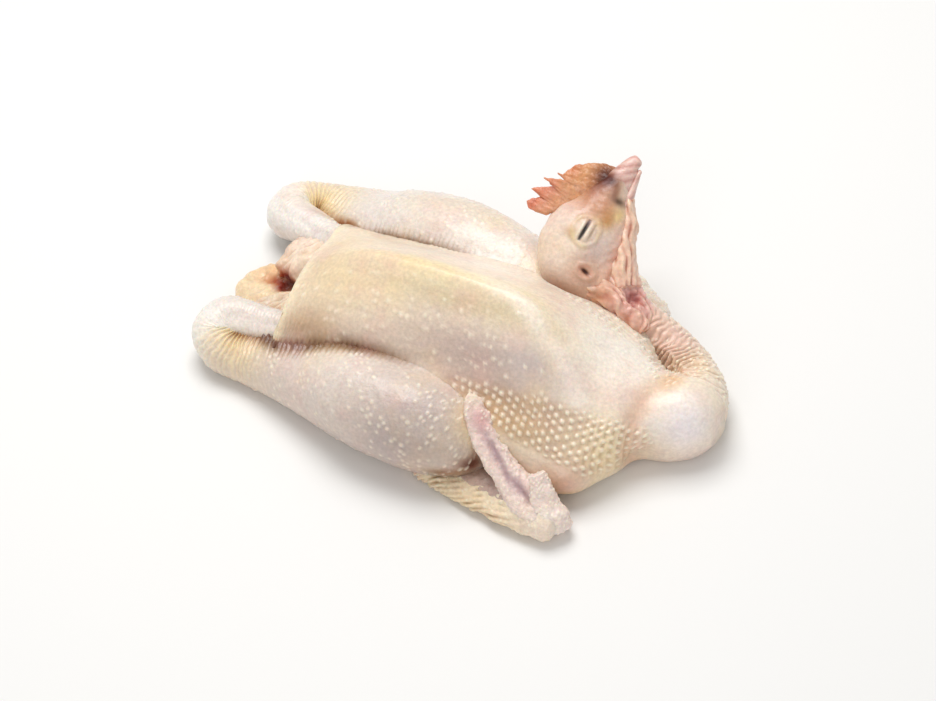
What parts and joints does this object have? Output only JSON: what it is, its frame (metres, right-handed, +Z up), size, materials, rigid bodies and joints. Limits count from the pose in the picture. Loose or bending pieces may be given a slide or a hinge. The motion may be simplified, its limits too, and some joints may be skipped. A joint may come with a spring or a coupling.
{
  "type": "whole raw chicken",
  "caption": "Plucked raw chicken lying on its back, with head, comb, folded neck and wings, and its shanks tucked in under the belly skin.",
  "frame": {"origin": "centre of the bird's footprint, on the surface it lies on", "axes": "+X towards the neck, +Y towards the side the head lies on, +Z up through the keel of the breast"},
  "size_m": [0.2962, 0.1972, 0.0884],
  "materials": {
    "raw_skin": "moist raw poultry skin, pale cream with pink and yellow tints, soft gloss"
  },
  "bodies": {
    "root": {"chicken": "raw_skin"}
  },
  "joints": []
}
